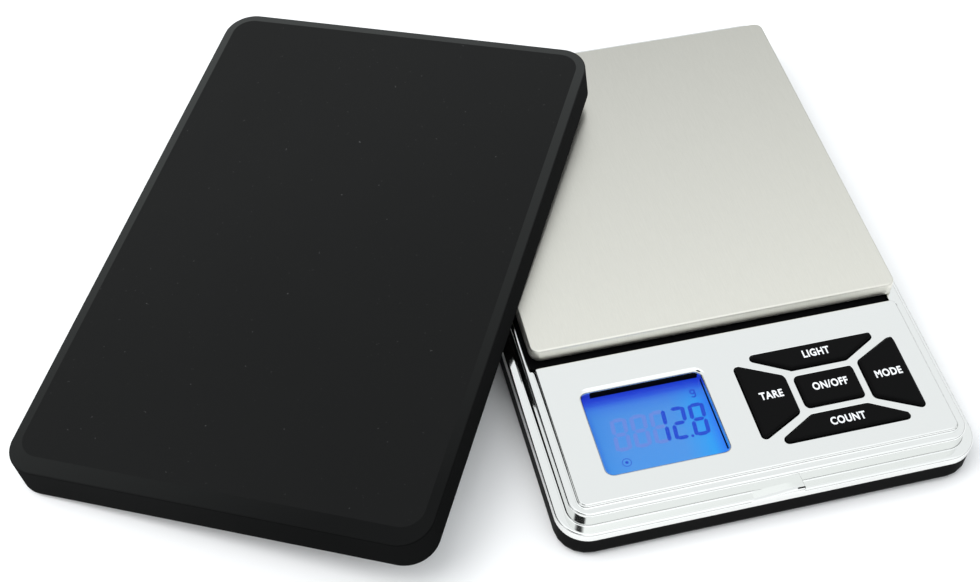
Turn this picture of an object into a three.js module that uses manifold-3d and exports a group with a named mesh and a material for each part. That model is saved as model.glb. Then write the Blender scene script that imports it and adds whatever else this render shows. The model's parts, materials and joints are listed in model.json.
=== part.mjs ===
// Digital gram scale with its lift-off cover: a pocket scale with a plated upper casing, a steel
// weighing platform on a beam load cell, a back-lit display, five keys and two coin cells.
// Millimetres, +Z up. The origin is the middle of the lower casing's flat underside; -Y is the
// side with the display and the keys. The cover is set down leaning on the platform's left edge.
import * as THREE from 'three';
import { mergeVertices } from 'three/addons/utils/BufferGeometryUtils.js';
import Module from 'manifold-3d';

const wasm = await Module();
wasm.setup();

// ---------- driving dimensions ----------
const CASE_WIDTH = 80;
const CASE_LENGTH = 118;
const CASE_RADIUS = 6;
const SPLIT_Z = 4.8; // where the lower and upper casings meet
const SEAM = 0.05; // hairline between pieces that touch
const FIT = 0.25; // clearance around pieces that slide

const LOWER_WALL = 1.8;
const LOWER_FLOOR = 1.4;
const LOWER_EDGE = 1.2; // rounding under the lower casing

const FLANGE_TOP = 6.7;
const WALL_INSET = 2.1; // from the flange's outline to the plated wall
const DECK_TOP = 9.95; // narrow deck around the panel, and the rails beside the platform
const DECK_INSET = 2.6;
const ROOF_UNDER = 9.0;
const CAVITY_INSET = 3.3;
const THUMB_PAD = { halfWidth: 5.35, height: 0.6 };

const PANEL_TOP = 10.57;
const PANEL_INSET = 3.95;
const PANEL_REAR = -24.45;
const WELL_LEFT = -37;
const WELL_RIGHT = 35.3;
const WELL_REAR = 54.5;

const PLATFORM = { left: -36.25, right: 36.9, front: -22.45, rear: 53.67, top: 12.74, skirt: 2.3, sheet: 0.6, flare: 0.45 };
const PLATFORM_TRAVEL = 0.4;

const WINDOW = { left: -29.3, right: -6.2, front: -49.67, rear: -31.8, radius: 1.2, bevel: 0.45 };

const KEYPAD_CENTRE = [16, -41];
const KEY_CORNERS = [0.9, 0.6, 0.6, 0.9];
const KEY_TOP = PANEL_TOP + 0.8;
const KEY_UNDER = 7.8;
const KEY_LIP = { reach: 0.5, top: 8.6 };

const BOARD = { halfWidth: 33.5, front: -49.8, rear: -26.8, under: 5.1, top: 5.9 };
const CELL = { radius: 10, height: 3.2, under: 1.5, y: -38.5, x: [4.5, 26.5] };
const DOOR = { left: -8, front: -48.9, rear: -28.1, sill: 0.65, tongueTop: 1.3, tongue: 0.6, slotTop: 1.5 };

const CORNER_X = 33.8; // feet and casing screws share these places
const CORNER_Y = 53.2;
const FOOT = { radius: 3.5, drop: 0.6, recess: 0.6 };
const CASE_SCREW = { headRadius: 2, shankRadius: 1, headUnder: 0.7, headTop: 1.9, tip: 8.4 };

const BEAM = { width: 12, length: 48, height: 6, under: 2.35, midY: 15.6, holeRadius: 2.1 };
const BEAM_SCREW_INSETS = [3.5, 12.5]; // from each end of the beam
const M3 = { hole: 1.6, shank: 1.4, head: 2.6 };

const COVER = {
  width: 80.6, length: 118.5, height: 7.7, wall: 1.8, roof: 1.3,
  sideBevel: 2, frontBevel: 3.5, bevelDrop: 0.35, groove: 0.3,
};
// Where the cover rests: its front left corner on the table, its right and rear rims on the platform.
const COVER_PLACE = { x: -69.33, y: 10.4, z: 8.0 };
const COVER_TURN = { x: 3.13, y: -7.49, z: -30.28 }; // degrees, applied in the order z, y, x

const CORNER_STEPS = 5;
const ROUND_STEPS = 24;

// ---------- materials ----------
const finish = (color, roughness, metalness) => new THREE.MeshStandardMaterial({ color, roughness, metalness });
const BLACK_PLASTIC = finish(0x161616, 0.45, 0);
const COVER_PLASTIC = finish(0x242424, 0.5, 0);
const CHROME = finish(0xe6e9e9, 0.08, 1);
const STAINLESS = finish(0xc9c8bf, 0.32, 1);
const ALUMINIUM = finish(0xb8babc, 0.4, 1);
const STEEL = finish(0x9a9c9e, 0.3, 1);
const RUBBER = finish(0x1b1b1b, 0.9, 0);
const KEY_PLASTIC = finish(0x1c1c1c, 0.55, 0);
const DISPLAY_BLUE = finish(0x4a90de, 0.2, 0);
const CLEAR = finish(0xdfe8f2, 0.05, 0);
const BOARD_GREEN = finish(0x1f5a3a, 0.6, 0);
const SILICONE = finish(0xb9bdc0, 0.8, 0);
const WIRE = finish(0x8a1f1f, 0.6, 0);

// ---------- outlines and solids ----------
const box2 = (x0, x1, y0, y1) => [[x0, y0], [x1, y0], [x1, y1], [x0, y1]];
const caseOutline = box2(-CASE_WIDTH / 2, CASE_WIDTH / 2, -CASE_LENGTH / 2, CASE_LENGTH / 2);

// The corners of a convex outline after each side moves in by its inset (negative moves it out).
function insetCorners(corners, insets) {
  const count = corners.length;
  const sides = corners.map((start, i) => {
    const end = corners[(i + 1) % count];
    const along = new THREE.Vector2(end[0] - start[0], end[1] - start[1]).normalize();
    const inward = new THREE.Vector2(-along.y, along.x);
    return { point: new THREE.Vector2(...start).addScaledVector(inward, insets[i]), along };
  });
  return sides.map((side, i) => {
    const before = sides[(i + count - 1) % count];
    const gap = side.point.clone().sub(before.point);
    const reach = gap.cross(side.along) / before.along.cross(side.along);
    return before.point.clone().addScaledVector(before.along, reach);
  });
}

// Points around a convex outline with round corners, counter-clockwise. A radius may be given for each corner.
function ring(corners, radius, inset, steps = CORNER_STEPS) {
  const insets = Array.isArray(inset) ? inset : corners.map(() => inset);
  const moved = insetCorners(corners, insets);
  const radii = Array.isArray(radius) ? radius : corners.map(() => radius);
  const points = [];
  moved.forEach((corner, i) => {
    const round = Math.max(radii[i] - Math.min(...insets), 0.05);
    const before = moved[(i + moved.length - 1) % moved.length];
    const after = moved[(i + 1) % moved.length];
    const inDir = corner.clone().sub(before).normalize();
    const outDir = after.clone().sub(corner).normalize();
    const turn = Math.acos(THREE.MathUtils.clamp(inDir.dot(outDir), -1, 1));
    const setback = round * Math.tan(turn / 2);
    const centre = corner.clone().addScaledVector(inDir, -setback)
      .add(new THREE.Vector2(-inDir.y, inDir.x).multiplyScalar(round));
    const from = Math.atan2(-inDir.x, inDir.y);
    for (let k = 0; k <= steps; k += 1) {
      const angle = from + (turn * k) / steps;
      points.push([centre.x + round * Math.cos(angle), centre.y + round * Math.sin(angle)]);
    }
  });
  return points;
}

// A closed body through rings of one outline; each level is [z, inset].
function loft(corners, radius, levels, steps = CORNER_STEPS) {
  const rings = levels.map(([z, inset]) => ring(corners, radius, inset, steps).map(([x, y]) => [x, y, z]));
  const count = rings[0].length;
  const triangles = [];
  for (let level = 0; level + 1 < rings.length; level += 1) {
    for (let i = 0; i < count; i += 1) {
      const j = (i + 1) % count;
      const [low, high] = [rings[level], rings[level + 1]];
      triangles.push(low[i], low[j], high[j], low[i], high[j], high[i]);
    }
  }
  const [bottom, top] = [rings[0], rings[rings.length - 1]];
  for (let i = 1; i + 1 < count; i += 1) {
    triangles.push(bottom[0], bottom[i + 1], bottom[i], top[0], top[i], top[i + 1]);
  }
  const geometry = new THREE.BufferGeometry();
  geometry.setAttribute('position', new THREE.Float32BufferAttribute(triangles.flat(), 3));
  return geometry;
}

const slab = (corners, radius, z0, z1, inset = 0) => loft(corners, radius, [[z0, inset], [z1, inset]]);

function block(x0, x1, y0, y1, z0, z1) {
  const geometry = new THREE.BoxGeometry(x1 - x0, y1 - y0, z1 - z0);
  return geometry.translate((x0 + x1) / 2, (y0 + y1) / 2, (z0 + z1) / 2);
}

function disc(x, y, radius, z0, z1, steps = ROUND_STEPS) {
  const geometry = new THREE.CylinderGeometry(radius, radius, z1 - z0, steps);
  return geometry.rotateX(Math.PI / 2).translate(x, y, (z0 + z1) / 2);
}

// Stacked round steps on one vertical axis, each [radius, z0, z1] touching the next, as one lathe.
function turned(x, y, steps, sides = ROUND_STEPS) {
  const profile = [new THREE.Vector2(0, steps[0][1])];
  steps.forEach(([radius, z0, z1]) => profile.push(new THREE.Vector2(radius, z0), new THREE.Vector2(radius, z1)));
  profile.push(new THREE.Vector2(0, steps[steps.length - 1][2]));
  return new THREE.LatheGeometry(profile, sides).rotateX(Math.PI / 2).translate(x, y, 0);
}

function solid(geometry) {
  const plain = geometry.clone();
  plain.deleteAttribute('normal');
  plain.deleteAttribute('uv');
  const merged = mergeVertices(plain, 1e-4);
  return new wasm.Manifold(new wasm.Mesh({
    numProp: 3,
    vertProperties: Float32Array.from(merged.attributes.position.array),
    triVerts: Uint32Array.from(merged.index.array),
  }));
}

// One body from the first geometry, plus the joined ones, minus the cut ones.
function carve(first, joined, cut) {
  let body = solid(first);
  joined.forEach((geometry) => { body = body.add(solid(geometry)); });
  cut.forEach((geometry) => { body = body.subtract(solid(geometry)); });
  const mesh = body.getMesh();
  const geometry = new THREE.BufferGeometry();
  const positions = [];
  for (let i = 0; i < mesh.vertProperties.length; i += mesh.numProp) {
    positions.push(...mesh.vertProperties.slice(i, i + 3));
  }
  geometry.setAttribute('position', new THREE.Float32BufferAttribute(positions, 3));
  geometry.setIndex([...mesh.triVerts]);
  return geometry.toNonIndexed();
}

const scale = new THREE.Group();
function piece(name, geometry, material, group = scale) {
  geometry.computeVertexNormals();
  const mesh = new THREE.Mesh(geometry, material);
  mesh.name = name;
  group.add(mesh);
  return mesh;
}

const cornerPlaces = [
  ['front_left', -CORNER_X, -CORNER_Y],
  ['front_right', CORNER_X, -CORNER_Y],
  ['rear_left', -CORNER_X, CORNER_Y],
  ['rear_right', CORNER_X, CORNER_Y],
];
const beamFront = BEAM.midY - BEAM.length / 2;
const beamRear = BEAM.midY + BEAM.length / 2;
const fixedHoles = BEAM_SCREW_INSETS.map((inset) => beamFront + inset);
const freeHoles = BEAM_SCREW_INSETS.map((inset) => beamRear - inset);
const beamTop = BEAM.under + BEAM.height;

// ---------- lower casing, with its feet and screws ----------
const lowerOuter = () => loft(caseOutline, CASE_RADIUS, [
  [0, LOWER_EDGE],
  [LOWER_EDGE * 0.13, LOWER_EDGE * 0.5],
  [LOWER_EDGE * 0.5, LOWER_EDGE * 0.13],
  [LOWER_EDGE, 0],
  [SPLIT_Z - SEAM, 0],
]);

function lowerCasing() {
  const seatTop = BEAM.under - SEAM;
  const bayTop = 4.7;
  const bayOuter = [DOOR.left - 1, 37.7, DOOR.front - 1, DOOR.rear + 1];
  const bay = carve(
    block(...bayOuter, LOWER_FLOOR - 0.2, bayTop),
    [],
    [block(bayOuter[0] + 1, bayOuter[1] - 1, bayOuter[2] + 1, bayOuter[3] - 1, 0, SPLIT_Z)],
  );
  const pillars = cornerPlaces.map(([, x, y]) => disc(x, y, 2.9, LOWER_FLOOR - 0.2, SPLIT_Z - SEAM));
  const seat = block(-BEAM.width / 2, BEAM.width / 2, beamFront, beamFront + 16, LOWER_FLOOR - 0.2, seatTop);
  const cavity = slab(caseOutline, CASE_RADIUS, LOWER_FLOOR, SPLIT_Z + 1, LOWER_WALL);
  const shell = carve(lowerOuter(), [], [cavity]);
  const footHoles = cornerPlaces.map(([, x, y]) => disc(x, y, FOOT.radius + 0.1, -1, FOOT.recess));
  const headHoles = cornerPlaces.map(([, x, y]) => disc(x, y, CASE_SCREW.headRadius + 0.2, -1, 2.1));
  const shankHoles = cornerPlaces.map(([, x, y]) => disc(x, y, CASE_SCREW.shankRadius + 0.2, -1, 6));
  const beamHoles = fixedHoles.flatMap((y) => [disc(0, y, M3.hole, -1, 4), disc(0, y, M3.head + 0.2, -1, 1.3)]);
  const doorway = [
    block(DOOR.left, CASE_WIDTH, DOOR.front, DOOR.rear, -1, DOOR.slotTop),
    block(DOOR.left, CASE_WIDTH, DOOR.front - DOOR.tongue, DOOR.rear + DOOR.tongue, DOOR.sill, DOOR.slotTop),
  ];
  const cuts = [...footHoles, ...headHoles, ...shankHoles, ...beamHoles, ...doorway];
  return carve(shell, [bay, ...pillars, seat], cuts);
}
piece('lower_casing', lowerCasing(), BLACK_PLASTIC);

cornerPlaces.forEach(([place, x, y]) => {
  piece(`rubber_foot_${place}`, disc(x, y, FOOT.radius, -FOOT.drop, FOOT.recess - SEAM), RUBBER);
  const { headRadius, shankRadius, headUnder, headTop, tip } = CASE_SCREW;
  const screw = turned(x, y, [[headRadius, headUnder, headTop], [shankRadius, headTop, tip]], 16);
  piece(`case_screw_${place}`, screw, STEEL);
});

// ---------- battery door, coin cells and their contacts ----------
function batteryDoor() {
  const skinReach = block(DOOR.left + FIT, CASE_WIDTH, DOOR.front + FIT, DOOR.rear - FIT, -1, DOOR.sill + 0.2);
  const skin = solid(lowerOuter()).intersect(solid(skinReach)).getMesh();
  const shape = new THREE.BufferGeometry();
  shape.setAttribute('position', new THREE.Float32BufferAttribute([...skin.vertProperties], 3));
  shape.setIndex([...skin.triVerts]);
  const reach = DOOR.tongue - 0.2;
  const endX = CASE_WIDTH / 2 - LOWER_EDGE * 0.13;
  const tongue = block(
    DOOR.left + FIT, endX, DOOR.front - reach, DOOR.rear + reach, DOOR.sill + 0.15, DOOR.tongueTop,
  );
  const grip = [0, 1, 2].map((k) => block(30 + 2 * k, 31 + 2 * k, -44, -33, -0.5, 0.3));
  return carve(shape, [tongue], grip);
}
piece('battery_door', batteryDoor(), BLACK_PLASTIC);
const linkRight = CELL.x[1] + 4;
const link = block(CELL.x[0] - 4, linkRight, CELL.y - 3, CELL.y + 3, DOOR.tongueTop + 0.02, CELL.under - SEAM);
piece('series_link_plate', link, STEEL);

CELL.x.forEach((x, i) => {
  const rim = 0.5;
  const top = CELL.under + CELL.height;
  const cell = turned(x, CELL.y, [
    [CELL.radius - 1.2, CELL.under, CELL.under + rim],
    [CELL.radius, CELL.under + rim, top],
  ], 32);
  piece(`coin_cell_${i + 1}`, cell, STEEL);
  const name = ['negative_contact', 'positive_contact'][i];
  const leaf = block(x - 3, x + 3, CELL.y - 6, CELL.y + 6, top + SEAM, BOARD.under - SEAM);
  piece(name, leaf, STEEL);
});

// ---------- load cell beam, its screws and its lead ----------
function loadCellBeam() {
  const side = new THREE.Shape();
  const half = BEAM.length / 2;
  side.moveTo(-half, 0).lineTo(half, 0).lineTo(half, BEAM.height).lineTo(-half, BEAM.height).closePath();
  const eye = new THREE.Path();
  const [r, midZ, reach] = [BEAM.holeRadius, BEAM.height / 2, 6];
  eye.moveTo(-reach, midZ - r);
  eye.lineTo(reach, midZ - r);
  eye.absarc(reach, midZ, r, -Math.PI / 2, Math.PI / 2, false);
  eye.lineTo(-reach, midZ + r);
  eye.absarc(-reach, midZ, r, Math.PI / 2, Math.PI * 1.5, false);
  side.holes.push(eye);
  const bar = new THREE.ExtrudeGeometry(side, { depth: BEAM.width, bevelEnabled: false, curveSegments: 10 });
  bar.rotateX(Math.PI / 2).rotateZ(Math.PI / 2).translate(-BEAM.width / 2, BEAM.midY, BEAM.under);
  const holes = [...fixedHoles, ...freeHoles].map((y) => disc(0, y, M3.hole, 0, 12));
  return carve(bar, [], holes);
}
piece('load_cell_beam', loadCellBeam(), ALUMINIUM);

fixedHoles.forEach((y, i) => {
  const screw = turned(0, y, [[M3.head, 0.15, 1.25], [M3.shank, 1.25, 7]], 16);
  piece(`load_cell_fixed_screw_${i + 1}`, screw, STEEL);
});

function loadCellLead() {
  const route = new THREE.CatmullRomCurve3([
    new THREE.Vector3(-7, 12, 5.2),
    new THREE.Vector3(-9.5, 4, 3.6),
    new THREE.Vector3(-13, -10, 2.4),
    new THREE.Vector3(-14, -21, 2.5),
    new THREE.Vector3(-14, -28, 3.9),
  ]);
  const section = new THREE.Shape().absarc(0, 0, 0.7, 0, Math.PI * 2, false);
  return new THREE.ExtrudeGeometry(section, { steps: 18, extrudePath: route, curveSegments: 8 });
}
piece('load_cell_lead', loadCellLead(), WIRE);

// ---------- circuit board and display ----------
const boardOutline = box2(-BOARD.halfWidth, BOARD.halfWidth, BOARD.front, BOARD.rear);
piece('circuit_board', slab(boardOutline, 1, BOARD.under, BOARD.top), BOARD_GREEN);
piece('controller_chip', block(-25, -17, -43, -35, BOARD.under - 1.1, BOARD.under - SEAM), BLACK_PLASTIC);
piece('backlight_panel', block(-30.2, -5.3, -50.6, -31.6, BOARD.top + SEAM, 7.2), SILICONE);
piece('display_connector_strip', block(-29, -6.5, -31.3, -29.9, BOARD.top + SEAM, 7.2), RUBBER);
piece('display_glass', block(-30.6, -4.9, -51, -29.7, 7.25, 8.65), DISPLAY_BLUE);
piece('display_window', block(-30.4, -5.1, -50.8, -29.9, 8.72, ROOF_UNDER - SEAM), CLEAR);

// ---------- keys and the rubber dome mat under them ----------
// Half sizes about the keypad's centre: the whole pad, the middle key, and the gap between keys.
const PAD = { x: 15.8, y: 9.9 };
const MIDDLE = { x: 5.65, y: 3.45 };
const GAP = 1.8;
const SLANT_GAP = 2.0;
const SIDE_TRIM = 0.4;
const corner = (x, y) => [KEYPAD_CENTRE[0] + x, KEYPAD_CENTRE[1] + y];

// Each outer key is a trapezoid: a long outer side, a short side that faces the middle key, and
// slanted ends that keep an even rib to the next key.
function keyOutlines() {
  const slant = new THREE.Vector2(PAD.x - MIDDLE.x - GAP, PAD.y - MIDDLE.y - GAP);
  const half = SLANT_GAP / 2 / slant.length();
  const [shiftX, shiftY] = [slant.y * half, slant.x * half];
  const near = { x: MIDDLE.x + GAP, y: MIDDLE.y + GAP };
  const across = shiftY + shiftX * (slant.y / slant.x);
  const along = shiftX + shiftY * (slant.x / slant.y);
  const top = [
    corner(near.x - along, near.y), corner(PAD.x - along, PAD.y),
    corner(-PAD.x + along, PAD.y), corner(-near.x + along, near.y),
  ];
  const right = [
    corner(near.x, -near.y + across), corner(PAD.x, -PAD.y + across + SIDE_TRIM),
    corner(PAD.x, PAD.y - across - SIDE_TRIM), corner(near.x, near.y - across),
  ];
  const mirror = (points, sx, sy) => points.map(([x, y]) => [
    KEYPAD_CENTRE[0] + sx * (x - KEYPAD_CENTRE[0]),
    KEYPAD_CENTRE[1] + sy * (y - KEYPAD_CENTRE[1]),
  ]).reverse();
  const [cx, cy] = KEYPAD_CENTRE;
  return {
    light: top,
    count: mirror(top, 1, -1),
    mode: right,
    tare: mirror(right, -1, 1),
    on_off: box2(cx - MIDDLE.x, cx + MIDDLE.x, cy - MIDDLE.y, cy + MIDDLE.y),
  };
}
const keys = keyOutlines();
const middleOf = (points) => [0, 1].map((axis) => points.reduce((sum, p) => sum + p[axis], 0) / points.length);

Object.entries(keys).forEach(([name, outline]) => {
  const cap = loft(outline, KEY_CORNERS, [
    [KEY_UNDER, -KEY_LIP.reach],
    [KEY_LIP.top, -KEY_LIP.reach],
    [KEY_LIP.top, 0],
    [PANEL_TOP + 0.15, 0],
    [KEY_TOP - 0.15, 0.35],
    [KEY_TOP, 0.8],
  ], 3);
  piece(`${name}_key`, cap, KEY_PLASTIC);
});

function domeMat() {
  const [cx, cy] = KEYPAD_CENTRE;
  const sheet = slab(box2(cx - PAD.x, cx + PAD.x, cy - 8.6, cy + PAD.y + 0.5), 1, BOARD.top + SEAM, 6.4);
  const domes = Object.values(keys).map((outline) => {
    const [x, y] = middleOf(outline);
    return new THREE.CylinderGeometry(1.5, 2.3, 0.8, 16).rotateX(Math.PI / 2).translate(x, y, 6.7);
  });
  return carve(sheet, domes, []);
}
piece('key_dome_mat', domeMat(), SILICONE);

// ---------- plated upper casing ----------
function upperCasing() {
  const body = loft(caseOutline, CASE_RADIUS, [
    [SPLIT_Z, 0.1],
    [SPLIT_Z + 0.25, 0],
    [FLANGE_TOP - 0.4, 0],
    [FLANGE_TOP - 0.1, 0.12],
    [FLANGE_TOP, 0.4],
    [FLANGE_TOP, WALL_INSET - 0.1],
    [FLANGE_TOP + 0.15, WALL_INSET],
    [DECK_TOP - 0.45, WALL_INSET + 0.05],
    [DECK_TOP - 0.12, WALL_INSET + 0.17],
    [DECK_TOP, DECK_INSET],
  ]);
  const panelFront = -CASE_LENGTH / 2 + PANEL_INSET;
  const panelHalf = CASE_WIDTH / 2 - PANEL_INSET;
  const panelOutline = box2(-panelHalf, panelHalf, panelFront, PANEL_REAR);
  const panel = loft(panelOutline, [1.6, 1.6, 1.1, 0.35], [
    [DECK_TOP - 0.5, 0],
    [PANEL_TOP - 0.3, 0],
    [PANEL_TOP - 0.08, 0.1],
    [PANEL_TOP, 0.35],
  ]);
  const front = -CASE_LENGTH / 2;
  const pad = THUMB_PAD.halfWidth;
  const thumbPad = loft(box2(-pad, pad, front, front + WALL_INSET + 0.5), 0.4, [
    [FLANGE_TOP - 1, 0.02],
    [FLANGE_TOP + THUMB_PAD.height - 0.3, 0.06],
    [FLANGE_TOP + THUMB_PAD.height, 0.35],
  ]);
  const bossRadius = 3.2;
  const bosses = cornerPlaces.slice(0, 2).map(([, x, y]) => disc(x, y, bossRadius, SPLIT_Z + SEAM, ROOF_UNDER + 0.2));
  const cavity = slab(caseOutline, CASE_RADIUS, SPLIT_Z - 1, ROOF_UNDER, CAVITY_INSET);
  const hollow = carve(body, [panel, thumbPad], [cavity]);
  const well = slab(box2(WELL_LEFT, WELL_RIGHT, PANEL_REAR, WELL_REAR), 1.3, ROOF_UNDER - 1, DECK_TOP + 1);
  const w = WINDOW;
  const opening = loft(box2(w.left, w.right, w.front, w.rear), w.radius, [
    [ROOF_UNDER - 1, 0],
    [PANEL_TOP - w.bevel, 0],
    [PANEL_TOP + 0.05, -w.bevel],
    [PANEL_TOP + 1, -w.bevel],
  ]);
  const keyHoles = Object.values(keys).map((outline) => slab(outline, KEY_CORNERS, ROOF_UNDER - 1, PANEL_TOP + 1, -FIT));
  const screwHoles = cornerPlaces.map(([, x, y]) => disc(x, y, CASE_SCREW.shankRadius + 0.1, 0, CASE_SCREW.tip + 0.2));
  return carve(hollow, bosses, [well, opening, ...keyHoles, ...screwHoles]);
}
piece('upper_casing', upperCasing(), CHROME);

// ---------- black deck under the platform ----------
function innerDeck() {
  const top = 9.7;
  const under = 8.9;
  const edge = 0.35;
  const outline = box2(
    WELL_LEFT + edge, WELL_RIGHT - edge, PANEL_REAR + edge, WELL_REAR - edge,
  );
  const plate = slab(outline, 1, under, top);
  const apron = block(-32, 32, PANEL_REAR + edge, PANEL_REAR + edge + 1, 6.2, under + 0.2);
  const posts = cornerPlaces.slice(2).map(([, x, y]) => disc(x, y, 2.2, SPLIT_Z + SEAM, under + 0.05));
  const stopTop = PLATFORM.top - PLATFORM.sheet - 1.5 - PLATFORM_TRAVEL;
  const stops = [[-30, -16], [30, -16], [-30, 46], [30, 46]]
    .map(([x, y]) => disc(x, y, 1.6, top - 0.2, stopTop, 16));
  const freeMid = (freeHoles[0] + freeHoles[1]) / 2;
  const cuts = [
    block(-8, 8, freeMid - 8.5, freeMid + 8.5, 8, 10),
    ...cornerPlaces.slice(2).map(([, x, y]) => disc(x, y, CASE_SCREW.shankRadius + 0.1, 0, CASE_SCREW.tip + 0.2)),
  ];
  return carve(plate, [apron, ...posts, ...stops], cuts);
}
piece('inner_deck', innerDeck(), BLACK_PLASTIC);

// ---------- weighing platform ----------
const platformOutline = box2(PLATFORM.left, PLATFORM.right, PLATFORM.front, PLATFORM.rear);
function weighingPlatform() {
  const { top, skirt, sheet, flare } = PLATFORM;
  const outer = loft(platformOutline, 1.5, [
    [top - skirt, [-flare, 0, 0, 0]],
    [top - 0.45, 0],
    [top - 0.13, 0.13],
    [top, 0.45],
  ]);
  const hollow = slab(platformOutline, 1.5, top - skirt - 1, top - sheet, sheet);
  return carve(outer, [], [hollow]);
}
piece('weighing_platform', weighingPlatform(), STAINLESS);

const carrierTop = PLATFORM.top - PLATFORM.sheet - 0.1;
const carrierUnder = carrierTop - 1.4;
function platformCarrier() {
  const plate = slab(platformOutline, 1.5, carrierUnder, carrierTop, PLATFORM.sheet + 0.3);
  const holes = freeHoles.flatMap((y) => [disc(0, y, M3.hole, 8, 13), disc(0, y, M3.head + 0.15, carrierTop - 0.9, 13)]);
  return carve(plate, [], holes);
}
piece('platform_carrier', platformCarrier(), BLACK_PLASTIC);

const spacerUnder = beamTop + PLATFORM_TRAVEL + 0.2;
function platformSpacer() {
  const holes = freeHoles.map((y) => disc(0, y, M3.hole, 8, 13));
  const [y0, y1] = [freeHoles[1] - 4, freeHoles[0] + 4];
  return carve(block(-6, 6, y0, y1, spacerUnder, carrierUnder - SEAM), [], holes);
}
piece('platform_spacer', platformSpacer(), ALUMINIUM);

freeHoles.forEach((y, i) => {
  const headUnder = carrierTop - 0.85;
  const screw = turned(0, y, [[M3.shank, 4, headUnder], [M3.head, headUnder, carrierTop - 0.05]], 16);
  piece(`load_cell_platform_screw_${i + 1}`, screw, STEEL);
});

// ---------- lift-off cover, set down beside the scale ----------
const coverGroup = new THREE.Group();
const toRadians = THREE.MathUtils.degToRad;
coverGroup.position.set(COVER_PLACE.x, COVER_PLACE.y, COVER_PLACE.z);
coverGroup.rotation.set(toRadians(COVER_TURN.x), toRadians(COVER_TURN.y), toRadians(COVER_TURN.z), 'ZYX');
scale.add(coverGroup);

function protectiveCover() {
  const { width, length, height, wall, roof, sideBevel, frontBevel, bevelDrop, groove } = COVER;
  const outline = box2(-width / 2, width / 2, -length / 2, length / 2);
  const bevels = [frontBevel, sideBevel, sideBevel, sideBevel];
  const wallTop = height - bevelDrop;
  const outer = loft(outline, CASE_RADIUS, [
    [0, 0],
    [wallTop - 0.4, 0],
    [wallTop - 0.3, groove],
    [wallTop - 0.1, groove],
    [wallTop, 0.1],
    [height, bevels],
  ]);
  const hollow = slab(outline, CASE_RADIUS, -1, height - roof, wall);
  return carve(outer, [], [hollow]);
}
piece('protective_cover', protectiveCover(), COVER_PLASTIC, coverGroup);

export default scale;
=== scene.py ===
import json
import math

import bmesh
import bpy
from mathutils import Euler, Matrix, Vector
from mathutils.geometry import tessellate_polygon

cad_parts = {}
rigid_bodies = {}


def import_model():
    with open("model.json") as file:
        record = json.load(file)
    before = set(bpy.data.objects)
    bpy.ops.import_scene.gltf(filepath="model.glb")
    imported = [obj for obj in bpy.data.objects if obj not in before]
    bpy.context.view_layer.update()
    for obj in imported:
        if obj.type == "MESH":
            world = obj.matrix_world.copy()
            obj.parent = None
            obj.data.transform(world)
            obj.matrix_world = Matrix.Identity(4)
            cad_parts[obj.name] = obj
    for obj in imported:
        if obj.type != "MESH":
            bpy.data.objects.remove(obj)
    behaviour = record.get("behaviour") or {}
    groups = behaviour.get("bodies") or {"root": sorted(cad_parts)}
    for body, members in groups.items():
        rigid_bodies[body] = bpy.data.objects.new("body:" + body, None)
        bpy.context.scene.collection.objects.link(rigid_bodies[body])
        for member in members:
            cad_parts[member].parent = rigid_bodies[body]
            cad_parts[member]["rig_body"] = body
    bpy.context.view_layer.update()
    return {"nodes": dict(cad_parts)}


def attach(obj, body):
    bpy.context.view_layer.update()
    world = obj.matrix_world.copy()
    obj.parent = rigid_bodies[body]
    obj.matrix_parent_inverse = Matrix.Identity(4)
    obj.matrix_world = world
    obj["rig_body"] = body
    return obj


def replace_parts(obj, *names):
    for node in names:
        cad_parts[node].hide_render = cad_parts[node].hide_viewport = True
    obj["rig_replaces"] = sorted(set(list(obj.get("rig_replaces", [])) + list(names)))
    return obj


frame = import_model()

MM = 0.001
scene = bpy.context.scene
nodes = frame["nodes"]

# ---------- sizes in millimetres, as in the CAD ----------
CASE_HALF = (40.0, 59.0)
CASE_RADIUS = 6.0
SPLIT_Z = 4.8
FLANGE_TOP = 6.7
WALL_INSET = 2.1
DECK_TOP = 9.95
DECK_INSET = 2.6
ROOF_UNDER = 9.0
PANEL_TOP = 10.57
PANEL_INSET = 3.95
PANEL_REAR = -24.45
WELL_LEFT, WELL_RIGHT = -37.0, 35.3
PLATFORM = dict(left=-36.25, right=36.9, front=-22.45, rear=53.67, top=12.74)
WELL_REAR = 54.5
DISPLAY_TOP = 8.65
WINDOW = dict(left=-29.3, right=-6.2, front=-49.67, rear=-31.8)
KEYPAD = (16.0, -41.0)
PAD_HALF = (15.8, 9.9)
MIDDLE_HALF = (5.65, 3.45)
KEY_GAP = 1.8
SLANT_GAP = 2.0
SIDE_TRIM = 0.4
KEY_TOP = PANEL_TOP + 0.8
KEY_FIT = 0.14
KEY_RADII = [0.9, 0.6, 0.6, 0.9]
PANEL_RADII = [1.6, 1.6, 1.1, 0.35]
WINDOW_RADIUS = 1.3
OPENING_RADII = [2.0, 2.0, 0.9, 0.1, 1.3, 1.3, 0.3, 0.15]
STOPS_ABOVE = 10.2  # only the deck's overload stops reach higher than this
STOP_EASE = 0.03
COVER_SIZE = (80.6, 118.5, 7.7)
COVER_PLACE = (-69.33, 10.4, 8.0)
COVER_TURN = (3.13, -7.49, -30.28)
FLOOR_Z = -0.62
FLOOR_HALF = 3.0  # metres


# ---------- outlines ----------
def box2(x0, x1, y0, y1):
    return [(x0, y0), (x1, y0), (x1, y1), (x0, y1)]


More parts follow.
